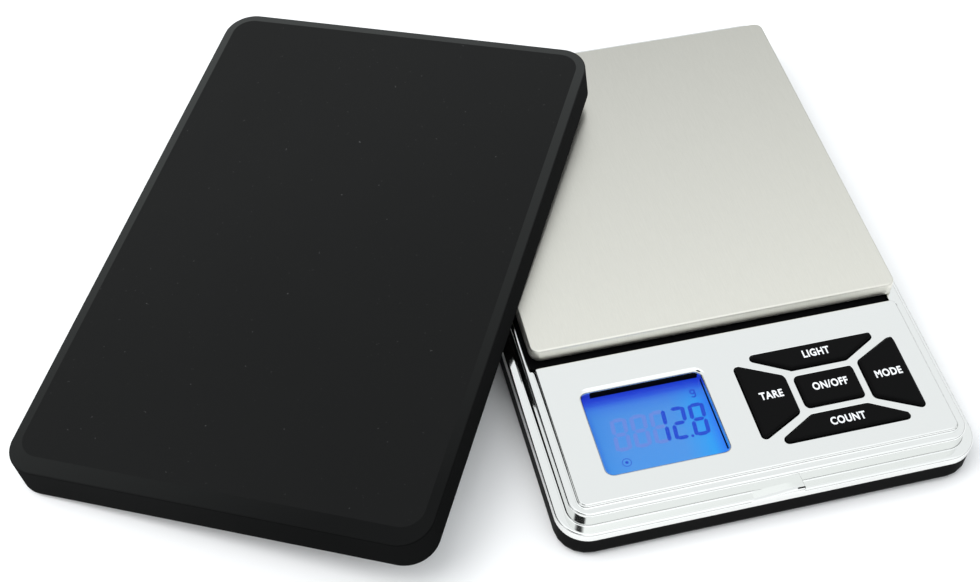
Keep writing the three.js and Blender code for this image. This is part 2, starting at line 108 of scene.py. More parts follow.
def inset_corners(corners, insets):
    """The corners after each side moves in by its inset; a negative inset moves it out."""
    count = len(corners)
    sides = []
    for i, start in enumerate(corners):
        along = (Vector(corners[(i + 1) % count]) - Vector(start)).normalized()
        inward = Vector((-along.y, along.x))
        sides.append((Vector(start) + inward * insets[i], along))
    moved = []
    for i, (point, along) in enumerate(sides):
        before, before_along = sides[i - 1]
        gap = point - before
        reach = (gap.x * along.y - gap.y * along.x) / (
            before_along.x * along.y - before_along.y * along.x)
        moved.append(before + before_along * reach)
    return moved


def ring(corners, radius, inset=0.0, steps=10):
    """Points counter-clockwise round an outline; radius is one value or one for each corner."""
    insets = list(inset) if isinstance(inset, (list, tuple)) else [inset] * len(corners)
    radii = list(radius) if isinstance(radius, (list, tuple)) else [radius] * len(corners)
    moved = inset_corners(corners, insets)
    points = []
    for i, corner in enumerate(moved):
        came = (corner - moved[i - 1]).normalized()
        goes = (moved[(i + 1) % len(moved)] - corner).normalized()
        side = 1.0 if came.x * goes.y - came.y * goes.x > 0 else -1.0
        turn = math.acos(max(-1.0, min(1.0, came.dot(goes))))
        arc = max(radii[i] - side * min(insets), 0.05)
        inward = Vector((-came.y, came.x)) * side
        centre = corner - came * (arc * math.tan(turn / 2)) + inward * arc
        start = math.atan2(-came.x * side, came.y * side)
        for k in range(steps + 1):
            angle = start + side * turn * k / steps
            points.append((centre.x + arc * math.cos(angle), centre.y + arc * math.sin(angle)))
    return points


def quarter(z_low, inset_low, z_high, inset_high, steps=5, concave=False):
    """Levels of a rounded edge from an upright side up to a flat top, or of a fillet if concave."""
    levels = []
    for k in range(steps + 1):
        a = math.pi / 2 * k / steps
        if concave:
            up, across = 1 - math.cos(a), math.sin(a)
        else:
            up, across = math.sin(a), 1 - math.cos(a)
        levels.append((z_low + (z_high - z_low) * up, inset_low + (inset_high - inset_low) * across))
    return levels


# ---------- mesh building ----------
class Skin:
    """A mesh built from rings of points at given heights, joined by bands and closed by flat caps."""

    def __init__(self):
        self.bm = bmesh.new()
        self.finish = 0

    def ring(self, points, z):
        return [self.bm.verts.new((x * MM, y * MM, z * MM)) for x, y in points]

    def band(self, low, high, inward=False):
        count = len(low)
        for i in range(count):
            j = (i + 1) % count
            face = [low[i], low[j], high[j], high[i]]
            self.bm.faces.new(face[::-1] if inward else face).material_index = self.finish

    def rise(self, corners, radius, levels, steps=10, inward=False):
        """Bands through levels of (z, inset); returns the first and last ring."""
        rings = [self.ring(ring(corners, radius, inset, steps), z) for z, inset in levels]
        for low, high in zip(rings, rings[1:]):
            self.band(low, high, inward)
        return rings[0], rings[-1]

    def cap(self, outer, holes=(), up=True):
        """A flat face inside the outer ring and outside the holes."""
        loops = [outer, *holes]
        flat = [v for loop in loops for v in loop]
        for a, b, c in tessellate_polygon([[v.co for v in loop] for loop in loops]):
            trio = [flat[a], flat[b], flat[c]]
            normal = (trio[1].co - trio[0].co).cross(trio[2].co - trio[0].co)
            if normal.length < 1e-14:
                continue
            if (normal.z > 0) != up:
                trio.reverse()
            self.bm.faces.new(trio).material_index = self.finish

    def solid(self, corners, radius, levels, steps=10):
        """Bands through the levels, with a flat cap on top and one underneath."""
        low, high = self.rise(corners, radius, levels, steps)
        self.cap(high)
        self.cap(low, up=False)

    def piece(self, name, material, body, slot, replaced=(), matrix=None):
        mesh = bpy.data.meshes.new(name)
        if matrix is not None:
            self.bm.transform(matrix)
        self.bm.to_mesh(mesh)
        self.bm.free()
        piece = bpy.data.objects.new(name, mesh)
        scene.collection.objects.link(piece)
        finish_piece(piece, material, body, replaced)


def finish_piece(piece, material, body, replaced=(), sharp=40):
    """Smooth shading with sharp edges kept, the material or materials, and what the piece rides on."""
    mesh = piece.data
    for finish in material if isinstance(material, list) else [material]:
        mesh.materials.append(finish)
    mesh.shade_smooth()
    mesh.set_sharp_from_angle(angle=math.radians(sharp))
    weighted = piece.modifiers.new("even_normals", "WEIGHTED_NORMAL")
    weighted.keep_sharp = True
    weighted.weight = 100
    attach(piece, body)
    if replaced:
        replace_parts(piece, *replaced)


# ---------- materials ----------
def srgb(r, g, b):
    def linear(c):
        c /= 255
        return c / 12.92 if c <= 0.04045 else ((c + 0.055) / 1.055) ** 2.4
    return (linear(r), linear(g), linear(b), 1.0)


def grey(value):
    return (value, value, value, 1)


def ramp_node(tree, source, stops):
    """A colour for each of several places along the source."""
    made = tree.nodes.new("ShaderNodeValToRGB")
    elements = made.color_ramp.elements
    while len(elements) < len(stops):
        elements.new(0.5)
    for element, (place, color) in zip(elements, stops):
        element.position, element.color = place, color
    tree.links.new(source, made.inputs["Fac"])
    return made.outputs["Color"]


def mix_node(tree, share, low, high, kind="MIX"):
    """Two colours mixed or multiplied; each input is a value or another node's output."""
    made = tree.nodes.new("ShaderNodeMix")
    made.data_type = "RGBA"
    made.blend_type = kind
    for socket, value in (("Factor", share), ("A", low), ("B", high)):
        if hasattr(value, "is_output"):
            tree.links.new(value, made.inputs[socket])
        else:
            made.inputs[socket].default_value = value
    return made.outputs["Result"]


class Paint:
    """A Principled material with helpers for procedural colour, roughness and bump."""

    def __init__(self, name, color, roughness, metallic=0.0, specular=0.5):
        self.material = bpy.data.materials.new(name)
        self.material.use_nodes = True
        self.tree = self.material.node_tree
        self.shader = self.tree.nodes["Principled BSDF"]
        self.set("Base Color", color)
        self.set("Roughness", roughness)
        self.set("Metallic", metallic)
        self.set("Specular IOR Level", specular)
        self.coordinates = self.tree.nodes.new("ShaderNodeTexCoord").outputs["Object"]
        self.height = None

    def set(self, socket, value):
        self.shader.inputs[socket].default_value = value

    def node(self, kind, **inputs):
        made = self.tree.nodes.new(kind)
        for name, value in inputs.items():
            made.inputs[name.replace("_", " ")].default_value = value
        return made

    def noise(self, scale, detail=3.0, stretch=(1, 1, 1), rough=0.5):
        mapping = self.node("ShaderNodeMapping")
        mapping.inputs["Scale"].default_value = stretch
        self.tree.links.new(self.coordinates, mapping.inputs["Vector"])
        noise = self.node("ShaderNodeTexNoise", Scale=scale, Detail=detail, Roughness=rough)
        self.tree.links.new(mapping.outputs["Vector"], noise.inputs["Vector"])
        return noise.outputs["Fac"]

    def ramp(self, source, low, high, start=0.3, end=0.7):
        """A ramp from colour or value low to high as the source goes from start to end."""
        first, last = (c if isinstance(c, tuple) else grey(c) for c in (low, high))
        return self.stops(source, [(start, first), (end, last)])

    def along(self, axis, low, high):
        """0 to 1 as the object coordinate on the axis goes from low to high, in millimetres."""
        split = self.tree.nodes.new("ShaderNodeSeparateXYZ")
        self.tree.links.new(self.coordinates, split.inputs["Vector"])
        made = self.tree.nodes.new("ShaderNodeMapRange")
        made.inputs["From Min"].default_value = low * MM
        made.inputs["From Max"].default_value = high * MM
        self.tree.links.new(split.outputs[axis], made.inputs["Value"])
        return made.outputs["Result"]

    def stops(self, source, stops):
        return ramp_node(self.tree, source, stops)

    def mix(self, share, low, high, kind="MIX"):
        return mix_node(self.tree, share, low, high, kind)

    def drive(self, socket, source):
        self.tree.links.new(source, self.shader.inputs[socket])

    def bump(self, source, distance, strength=1.0):
        made = self.node("ShaderNodeBump", Strength=strength, Distance=distance)
        self.tree.links.new(source, made.inputs["Height"])
        if self.height is not None:
            self.tree.links.new(self.height, made.inputs["Normal"])
        self.height = made.outputs["Normal"]
        self.drive("Normal", self.height)


def moulded(name, color, roughness, specular, grain=0.00001, painted_light_rear=None, dust=None):
    """Moulded plastic with a faint cloudy tone; the rear colour, when given, is the colour it drifts to
    at its rear end: painted light and shade graded from front to rear.
    """
    paint = Paint(name, color, roughness, specular=specular)
    paint.drive("Roughness", paint.ramp(paint.noise(35, 4), roughness - 0.05, roughness + 0.07))
    tone = color
    # Painted light and shade: the tone is graded along Y towards the rear colour, following how the
    # light falls.
    if painted_light_rear:
        tone = paint.stops(paint.along("Y", -50, 75), [(0.0, color), (1.0, painted_light_rear)])
    tone = paint.mix(1.0, tone, paint.ramp(paint.noise(18, 3), 0.9, 1.1), "MULTIPLY")
    if dust:
        specks = paint.ramp(paint.noise(1500, 2), 0.0, 1.0, 0.73, 0.80)
        tone = paint.mix(specks, tone, dust)
    paint.drive("Base Color", tone)
    paint.bump(paint.noise(2600, 2), grain, 0.5)
    return paint.material


def chrome():
    paint = Paint("bright_plating", srgb(236, 237, 235), 0.05, metallic=1.0)
    paint.drive("Roughness", paint.ramp(paint.noise(45, 4), 0.035, 0.085))
    paint.bump(paint.noise(70, 2), 0.00006, 0.12)
    return paint.material


def brushed(name, light, dark, roughness=0.3, shade=None):
    """Brushed metal with fine streaks along Y; shade, when given, is painted shade: how much of its tone
    is left at the rear end.
    """
    paint = Paint(name, light, roughness, metallic=1.0)
    streaks = paint.noise(1.0, 5, stretch=(9000, 420, 900), rough=0.7)
    clouds = paint.noise(1.0, 2, stretch=(60, 14, 30))
    tone = paint.ramp(streaks, dark, light, 0.2, 0.8)
    # Painted shade: the tone darkens from front to rear.
    if shade:
        left = paint.ramp(paint.along("Y", -20, 52), 1.0, shade, 0.0, 1.0)
        tone = paint.mix(1.0, tone, left, "MULTIPLY")
    paint.drive("Base Color", tone)
    paint.drive("Roughness", paint.ramp(clouds, roughness - 0.03, roughness + 0.05))
    paint.bump(streaks, 0.000006, 0.25)
    return paint.material


def plain(name, color, roughness, metallic=0.0, scale=120):
    """A single colour with slight unevenness in tone and roughness."""
    paint = Paint(name, color, roughness, metallic=metallic)
    dim = tuple(c * 0.85 for c in color[:3]) + (1,)
    paint.drive("Base Color", paint.ramp(paint.noise(scale, 3), dim, color))
    finer = paint.noise(scale * 2, 3)
    paint.drive("Roughness", paint.ramp(finer, roughness - 0.05, min(roughness + 0.08, 1.0)))
    return paint.material


def glowing(name, color, strength):
    paint = Paint(name, (0.002, 0.004, 0.012, 1), 0.3, specular=0.05)
    paint.set("Emission Color", color)
    paint.set("Emission Strength", strength)
    return paint.material


CHROME = chrome()
# The platform's tone darkens towards its rear end as painted shade.
STAINLESS = brushed("brushed_stainless", srgb(233, 231, 222), srgb(222, 220, 211), shade=0.75)
CASE_BLACK = moulded("case_black", (0.0050, 0.0050, 0.0052, 1), 0.45, 0.01)
# Darker than the case black: painted shade for the deck seen down the slot under the platform.
DECK_BLACK = moulded("deck_black", (0.0022, 0.0022, 0.0024, 1), 0.6, 0.02)
# The cover's top, chamfer and side are copies of one black plastic. Each is toned for how light falls on
# it, and each is graded lighter towards the rear as painted light; the top's specks are dust.
COVER_BLACK = moulded("cover_black", (0.0062, 0.0064, 0.0064, 1), 0.5, 0.08,
                      painted_light_rear=(0.0098, 0.0101, 0.0100, 1), dust=(0.05, 0.05, 0.05, 1))
COVER_CHAMFER_PAINTED_LIGHT = moulded("cover_chamfer_painted_light", (0.0028, 0.0030, 0.0030, 1), 0.45, 0.08,
                        painted_light_rear=(0.0360, 0.0378, 0.0368, 1))
COVER_SIDE_PAINTED_LIGHT = moulded("cover_side_painted_light", (0.0078, 0.0080, 0.0080, 1), 0.6, 0.0,
                     painted_light_rear=(0.0230, 0.0232, 0.0232, 1))
KEY_BLACK = moulded("key_black", (0.0042, 0.0042, 0.0043, 1), 0.45, 0.03)
RUBBER = moulded("rubber_black", (0.012, 0.012, 0.012, 1), 0.8, 0.3, grain=0.00003)
LEGEND_WHITE = plain("legend_white", srgb(236, 238, 240), 0.55, scale=300)
STEEL = plain("plain_steel", srgb(175, 177, 180), 0.3, 1.0)
ALUMINIUM = brushed("machined_aluminium", srgb(205, 206, 208), srgb(180, 181, 184), 0.35)
BOARD_GREEN = plain("solder_mask", (0.015, 0.10, 0.045, 1), 0.4)
SILICONE = plain("silicone", (0.45, 0.46, 0.47, 1), 0.6)
WIRE_RED = plain("wire_sheath", (0.28, 0.02, 0.02, 1), 0.5)


# ---------- camera ----------
def make_camera():
    data = bpy.data.cameras.new("camera")
    camera = bpy.data.objects.new("camera", data)
    scene.collection.objects.link(camera)
    data.sensor_width = 36.0
    data.lens = 59.43
    data.clip_start, data.clip_end = 0.01, 20
    place = (-0.092504, -0.192092, 0.254104)
    right = (0.9690179, -0.24606654, 0.02134424)
    up = (0.17932441, 0.76033676, 0.6242842)
    back = (-0.16984426, -0.60111502, 0.78090567)
    turn = Matrix((right, up, back)).transposed().to_4x4()
    camera.matrix_world = Matrix.Translation(place) @ turn
    scene.camera = camera


make_camera()


# ---------- plated upper casing ----------
case_outline = box2(-CASE_HALF[0], CASE_HALF[0], -CASE_HALF[1], CASE_HALF[1])
panel_half, panel_front = CASE_HALF[0] - PANEL_INSET, -CASE_HALF[1] + PANEL_INSET
panel_outline = box2(-panel_half, panel_half, panel_front, PANEL_REAR)
window_outline = box2(WINDOW["left"], WINDOW["right"], WINDOW["front"], WINDOW["rear"])


def key_outlines():
    """The outer keys are trapezoids with even ribs between them; the middle one is a rectangle."""
    cx, cy = KEYPAD
    slant = Vector((PAD_HALF[0] - MIDDLE_HALF[0] - KEY_GAP, PAD_HALF[1] - MIDDLE_HALF[1] - KEY_GAP))
    half = SLANT_GAP / 2 / slant.length
    shift_x, shift_y = slant.y * half, slant.x * half
    near = (MIDDLE_HALF[0] + KEY_GAP, MIDDLE_HALF[1] + KEY_GAP)
    across = shift_y + shift_x * slant.y / slant.x
    along = shift_x + shift_y * slant.x / slant.y
    top = [(near[0] - along, near[1]), (PAD_HALF[0] - along, PAD_HALF[1]),
           (-PAD_HALF[0] + along, PAD_HALF[1]), (-near[0] + along, near[1])]
    side = [(near[0], -near[1] + across), (PAD_HALF[0], -PAD_HALF[1] + across + SIDE_TRIM),
            (PAD_HALF[0], PAD_HALF[1] - across - SIDE_TRIM), (near[0], near[1] - across)]

    def place(points, sx=1, sy=1):
        placed = [(cx + sx * x, cy + sy * y) for x, y in points]
        return placed if sx * sy > 0 else placed[::-1]

    middle = box2(-MIDDLE_HALF[0], MIDDLE_HALF[0], -MIDDLE_HALF[1], MIDDLE_HALF[1])
    return {
        "light": place(top), "count": place(top, 1, -1), "mode": place(side),
        "tare": place(side, -1, 1), "on_off": place(middle),
    }


KEYS = key_outlines()


def upper_casing():
    """The plated shell: flange, upright wall, deck and raised panel, open underneath."""
    skin = Skin()
    # outer side, flange, wall and the rounded edge up to the deck
    levels = [(SPLIT_Z, 0.6), (SPLIT_Z, 0.12), (SPLIT_Z + 0.05, 0.03), (SPLIT_Z + 0.12, 0.0)]
    levels += quarter(FLANGE_TOP - 0.42, 0.0, FLANGE_TOP, 0.42, 6)
    levels += [(FLANGE_TOP, 0.5)]
    levels += quarter(FLANGE_TOP, WALL_INSET - 0.3, FLANGE_TOP + 0.22, WALL_INSET, 4, concave=True)
    levels += quarter(DECK_TOP - 0.5, WALL_INSET + 0.08, DECK_TOP, DECK_INSET + 0.02, 6)
    outer_low, outer_high = skin.rise(case_outline, CASE_RADIUS, levels, 14)
    # opening in the deck: the panel's foot in front, the well behind
    side, front, rear = panel_half + 0.35, panel_front - 0.35, PANEL_REAR - 0.2
    opening = [(-side, front), (side, front), (side, rear), (WELL_RIGHT, rear),
               (WELL_RIGHT, WELL_REAR), (WELL_LEFT, WELL_REAR), (WELL_LEFT, rear), (-side, rear)]
    levels = [(ROOF_UNDER, 0.0), (DECK_TOP - 0.15, 0.0), (DECK_TOP - 0.04, -0.03), (DECK_TOP, -0.1)]
    hole_low, hole = skin.rise(opening, OPENING_RADII, levels, 5, inward=True)
    skin.cap(outer_high, [hole])
    # inner wall and the deck's underside
    levels = [(SPLIT_Z, 3.3), (ROOF_UNDER, 3.3)]
    inner_low, inner_high = skin.rise(case_outline, CASE_RADIUS, levels, 14, inward=True)
    skin.band(outer_low, inner_low, inward=True)
    skin.cap(inner_high, [hole_low], up=False)
    # raised panel with its window and key openings
    foot = [(z, (inset, inset, 0.0, inset)) for z, inset in (
        (ROOF_UNDER, -0.42), (DECK_TOP - 0.1, -0.42), (DECK_TOP + 0.01, -0.36),
        (DECK_TOP + 0.04, -0.2), (DECK_TOP + 0.12, -0.1), (DECK_TOP + 0.25, -0.06))]
    top = quarter(PANEL_TOP - 0.3, 0.0, PANEL_TOP, 0.3, 6)
    panel_low, panel_edge = skin.rise(panel_outline, PANEL_RADII, foot + top, 8)
    bevel = quarter(PANEL_TOP - 0.9, 0.0, PANEL_TOP, -0.95, 8)
    levels = [(ROOF_UNDER, 0.0)] + bevel
    rims = [skin.rise(window_outline, WINDOW_RADIUS, levels, 8, inward=True)]
    lip = quarter(PANEL_TOP - 0.25, -KEY_FIT, PANEL_TOP, -KEY_FIT - 0.25, 5)
    levels = [(ROOF_UNDER, -KEY_FIT)] + lip
    for outline in KEYS.values():
        rims.append(skin.rise(outline, KEY_RADII, levels, 6, inward=True))
    skin.cap(panel_edge, [high for _, high in rims])
    skin.cap(panel_low, [low for low, _ in rims], up=False)
    skin.piece("plated_upper_casing", CHROME, "scale_body", "chrome_plate", ["upper_casing"])


upper_casing()


def thumb_pad():
    """A low pad on the flange for lifting the cover, with a small black tile at its right end as painted
    shade in the catch's hollow.
    """
    skin = Skin()
    front = -CASE_HALF[1]
    outline = box2(-5.35, 5.3, front, front + WALL_INSET + 0.4)
    levels = [(FLANGE_TOP - 1.2, (0.03, 0.0, 0.0, 0.0))]
    for k in range(9):
        t = k / 8
        insets = (0.03 + 0.35 * t ** 3, 0.25 * t ** 3, 0.0, 8.2 * t)
        levels.append((FLANGE_TOP - 0.06 + 0.56 * t, insets))
    skin.solid(outline, 0.35, levels, 5)
    skin.piece("plated_thumb_pad", CHROME, "scale_body", "chrome_plate")
    # A black tile on the wall stands in for the shade in the catch's hollow.
    skin = Skin()
    levels = [(FLANGE_TOP - 0.1, 0.0), (FLANGE_TOP + 0.51, 0.0), (FLANGE_TOP + 0.52, 0.01)]
    skin.solid(box2(3.7, 5.2, front + 0.35, front + 0.65), 0.12, levels, 4)
    skin.piece("catch_hollow_painted_shade", DECK_BLACK, "scale_body", "black_plastic")


thumb_pad()


# ---------- pieces that keep the shape of their CAD node ----------
def copy_of(node, name, material, sharp=30):
    """The CAD node's own shape as a new piece, with its corners shaded smooth."""
    source = nodes[node]
    bm = bmesh.new()
    bm.from_mesh(source.data)
    bmesh.ops.remove_doubles(bm, verts=bm.verts, dist=2e-6)
    bmesh.ops.dissolve_limit(bm, angle_limit=math.radians(0.5), verts=bm.verts, edges=bm.edges)
    mesh = bpy.data.meshes.new(name)
    bm.to_mesh(mesh)
    bm.free()
    piece = bpy.data.objects.new(name, mesh)
    scene.collection.objects.link(piece)
    finish_piece(piece, material, source["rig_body"], [node], sharp)
    return piece


deck = copy_of("inner_deck", "black_deck", DECK_BLACK)
for vertex in deck.data.vertices:  # the overload stops end a hair below the pressed carrier
    if vertex.co.z > STOPS_ABOVE * MM:
        vertex.co.z -= STOP_EASE * MM
copy_of("lower_casing", "black_lower_casing", CASE_BLACK, 35)
copy_of("battery_door", "battery_cover", CASE_BLACK, 35)
for corner in ("front_left", "front_right", "rear_left", "rear_right"):
    copy_of(f"rubber_foot_{corner}", f"foot_{corner}", RUBBER)


# ---------- weighing platform ----------
def weighing_platform():
    """A brushed tray whose front skirt flares outwards a little."""
    skin = Skin()
    outline = box2(PLATFORM["left"], PLATFORM["right"], PLATFORM["front"], PLATFORM["rear"])
    top, skirt, sheet, flare, edge, radius = PLATFORM["top"], 2.3, 0.6, 0.5, 0.42, 1.7

    def front_out(value, share):
        return (value - flare * share, value, value, value)

    foot = top - skirt
    levels = [(foot, front_out(0.5, 1.0)), (foot, front_out(0.08, 1.0)),
              (foot + 0.03, front_out(0.02, 0.99)), (foot + 0.1, front_out(0.0, 0.95)),
              (top - edge, front_out(0.0, 0.06))]
    rounding = quarter(top - edge + 0.03, 0.0, top, edge, 8)
    levels += [(z, front_out(inset, 0.0)) for z, inset in rounding]
    levels += [(top, 0.7)]
    skin.cap(skin.rise(outline, radius, levels)[1])
    levels = [(foot, front_out(0.5, 1.0)), (top - sheet, sheet)]
    skin.cap(skin.rise(outline, radius, levels, inward=True)[1], up=False)
    skin.piece("steel_platform", STAINLESS, "platform", "brushed_stainless", ["weighing_platform"])


weighing_platform()


# ---------- keys and their legends ----------
def key_cap(name, outline):
    """A key with a rounded top edge, standing a little above the panel."""
    skin = Skin()
    levels = [(8.6, 0.5), (8.6, 0.0), (PANEL_TOP + 0.1, 0.0)]
    levels += quarter(KEY_TOP - 0.55, 0.03, KEY_TOP, 0.6, 6)
    levels += [(KEY_TOP, 0.7)]
    skin.solid(outline, KEY_RADII, levels, 6)
    skin.piece(f"{name}_key_cap", KEY_BLACK, f"{name}_key", "key_plastic", [f"{name}_key"])


def legend(name, words, centre, body):
    """Bold, slightly narrow capitals lying on the key's top."""
    data = bpy.data.curves.new(name, "FONT")
    data.body = words
    data.align_x, data.align_y = "CENTER", "CENTER"
    data.size = LEGEND_HEIGHT * MM / CAPITAL_SHARE
    data.offset = 0.07 * MM
    data.space_character = 1.1
    data.extrude = 0.01 * MM
    data.resolution_u = 4
    text = bpy.data.objects.new(name, data)
    scene.collection.objects.link(text)
    place = (centre[0] * MM, centre[1] * MM, (KEY_TOP + 0.012) * MM)
    text.matrix_world = Matrix.Translation(place) @ Matrix.Diagonal((LEGEND_NARROW, 1.0, 1.0, 1.0))
    bpy.context.view_layer.update()
    evaluated = text.evaluated_get(bpy.context.evaluated_depsgraph_get())
    mesh = bpy.data.meshes.new_from_object(evaluated)
    mesh.transform(text.matrix_world)
    bpy.data.objects.remove(text)
    piece = bpy.data.objects.new(name, mesh)
    scene.collection.objects.link(piece)
    mesh.materials.clear()
    mesh.materials.append(LEGEND_WHITE)
    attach(piece, body)


LEGEND_HEIGHT = 1.6
CAPITAL_SHARE = 0.72  # a capital's height as a share of the font's size
LEGEND_NARROW = 0.8
LEGENDS = {
    "light": ("LIGHT", (16.15, -33.5)), "count": ("COUNT", (16.4, -48.9)),
    "mode": ("MODE", (27.65, -41.0)), "tare": ("TARE", (4.6, -40.8)),
    "on_off": ("ON/OFF", (16.1, -40.9)),
}
for key, outline in KEYS.items():
    key_cap(key, outline)
    words, centre = LEGENDS[key]
    legend(f"{key}_legend", words, centre, f"{key}_key")


# ---------- display ----------
def display_face():
    """The lit liquid-crystal face: deep blue at the rear as painted shade, paler in the middle, cyan at
    the right.
    """
    paint = Paint("backlit_face", (0.002, 0.004, 0.012, 1), 0.3, specular=0.05)
    # Painted shade: the face darkens to deep blue along its rear edge, where the side colours fade out.
    share = paint.ramp(paint.along("Y", WINDOW["front"], WINDOW["rear"]), 0.55, 0.04, 0.68, 0.9)
    tone_and_rear_shade = paint.stops(paint.along("Y", WINDOW["front"], WINDOW["rear"]), [
        (0.0, srgb(70, 158, 240)), (0.3, srgb(76, 154, 234)), (0.7, srgb(66, 142, 228)),
        (0.82, srgb(58, 122, 226)), (0.89, srgb(38, 84, 220)), (0.94, srgb(26, 56, 210)),
        (1.0, srgb(18, 38, 195))])
    side = paint.stops(paint.along("X", WINDOW["left"], WINDOW["right"]), [
        (0.0, srgb(20, 70, 215)), (0.05, srgb(66, 138, 226)), (0.2, srgb(86, 150, 232)),
        (0.68, srgb(86, 152, 234)), (0.9, srgb(0, 168, 255)), (1.0, srgb(0, 90, 255))])
    paint.drive("Emission Color", paint.mix(share, tone_and_rear_shade, side))
    paint.set("Emission Strength", 1.12)
    skin = Skin()
    skin.solid(box2(-30.5, -5.0, -50.9, -29.8), 0.4, [(7.3, 0.0), (DISPLAY_TOP, 0.0)], 3)
    skin.piece("display_face", paint.material, "scale_body", "display", ["display_glass"])


display_face()
SEGMENT_BLUE = glowing("lit_segment", srgb(38, 82, 222), 1.0)
GHOST_BLUE = glowing("faint_segment", srgb(106, 142, 226), 1.12)

DIGIT = dict(width=3.1, height=7.1, bar=0.78, slant=0.10)
DIGIT_BASE = -44.6
DIGIT_PITCH = 3.75
UNIT = (-8.5, -35.0)
STEADY = (-24.9, -47.0)
SEGMENTS = {"1": "bc", "2": "abged", "8": "abcdefg", "-": "adefg"}


def segment_points(code):
    """One bar of a seven-segment digit: a slim hexagon placed from the digit's lower left corner."""
    w, h, b = DIGIT["width"], DIGIT["height"], DIGIT["bar"]
    lying = {"a": h - b / 2, "g": h / 2, "d": b / 2}
    if code in lying:
        y, x0, x1 = lying[code], b * 0.62, w - b * 0.62
        half = b / 2
        points = [(x0, y), (x0 + half, y - half), (x1 - half, y - half),
                  (x1, y), (x1 - half, y + half), (x0 + half, y + half)]
    else:
        x = {"b": w - b / 2, "c": w - b / 2, "e": b / 2, "f": b / 2}[code]
        y0, y1 = {"b": (h / 2, h), "c": (0, h / 2), "e": (0, h / 2), "f": (h / 2, h)}[code]
        y0, y1, half = y0 + b * 0.22, y1 - b * 0.22, b / 2
        points = [(x, y0), (x + half, y0 + half), (x + half, y1 - half),
                  (x, y1), (x - half, y1 - half), (x - half, y0 + half)]
    return [(px + DIGIT["slant"] * py, py) for px, py in points]


def flat_shapes(name, outlines, z, material):
    """Thin closed tiles printed just above the display face."""
    skin = Skin()
    for outline in outlines:
        low = skin.ring(outline, z)
        high = skin.ring(outline, z + 0.015)
        skin.band(low, high)
        skin.cap(high)
        skin.cap(low, up=False)
    skin.piece(name, material, "scale_body", "display")


def digit_tiles(text, left):
    """The bars of a row of digits that starts at left; "-" is the visible part of a covered 8."""
    tiles = []
    for place, sign in enumerate(text):
        for code in SEGMENTS[sign]:
            corner = left + place * DIGIT_PITCH
            tiles.append([(corner + x, DIGIT_BASE + y) for x, y in segment_points(code)])
    return tiles


def disc(x, y, radius, steps):
    turns = [2 * math.pi * k / steps for k in range(steps)]
    return [(x + radius * math.cos(a), y + radius * math.sin(a)) for a in turns]


def arc_band(x, y, radius, half, start, end, steps=16):
    angles = [math.radians(start + (end - start) * k / steps) for k in range(steps + 1)]
    outer = [(x + (radius + half) * math.cos(a), y + (radius + half) * math.sin(a)) for a in angles]
    inner = [(x + (radius - half) * math.cos(a), y + (radius - half) * math.sin(a)) for a in angles]
    return outer + inner[::-1]


def circle_band(place, radius, half):
    """A thin ring as two half rings."""
    return [arc_band(*place, radius, half, start, start + 180) for start in (0, 180)]


reading = digit_tiles("128", -18.6)
reading.append(disc(-11.5, DIGIT_BASE + 0.3, 0.3, 12))
unit = circle_band(UNIT, 0.42, 0.15)
unit += [box2(-8.23, -7.93, -35.75, -34.5), arc_band(UNIT[0], -35.75, 0.42, 0.15, -150, 0, 10)]
steady = [*circle_band(STEADY, 0.82, 0.06), disc(*STEADY, 0.3, 16)]
flat_shapes("display_reading", reading, DISPLAY_TOP + 0.01, SEGMENT_BLUE)
flat_shapes("display_unused_digits", digit_tiles("88-", -26.1), DISPLAY_TOP + 0.005, GHOST_BLUE)
flat_shapes("display_unit", unit, DISPLAY_TOP + 0.01, SEGMENT_BLUE)
flat_shapes("display_steady_mark", steady, DISPLAY_TOP + 0.01, SEGMENT_BLUE)


def display_shade_strips():
    """Black strips as painted shade and dark reflection along the rear edge of the window opening and
    low along its right edge.
    """
    skin = Skin()
    rear, right = WINDOW["rear"] - 0.03, WINDOW["right"] - 0.02
    for outline, top in ((box2(WINDOW["left"] + 1.9, right - 0.35, rear - 0.28, rear), 9.9),
                         (box2(right - 0.07, right, WINDOW["front"] + 1.2, rear - 1.0), 9.1)):
        levels = [(DISPLAY_TOP + 0.03, 0.0), (top - 0.05, 0.0), (top, 0.04)]
        skin.solid(outline, 0.05, levels, 3)
    skin.piece("display_shade_strips", DECK_BLACK, "scale_body", "black_plastic")


display_shade_strips()


def window_glass():
    """The thin clear pane over the display."""
    paint = Paint("clear_window", (0.02, 0.03, 0.05, 1), 0.03)
    paint.set("Alpha", 0.08)
    paint.drive("Roughness", paint.ramp(paint.noise(200, 3), 0.02, 0.06))
    skin = Skin()
    skin.solid(box2(-30.3, -5.2, -50.7, -30.0), 0.4, [(8.74, 0.0), (8.93, 0.0)], 3)
    skin.piece("window_glass", paint.material, "scale_body", "clear_window", ["display_window"])


window_glass()


# ---------- lift-off cover ----------
def cover_matrix():
    turn = Euler([math.radians(a) for a in COVER_TURN], "XYZ").to_matrix().to_4x4()
    return Matrix.Translation([c * MM for c in COVER_PLACE]) @ turn


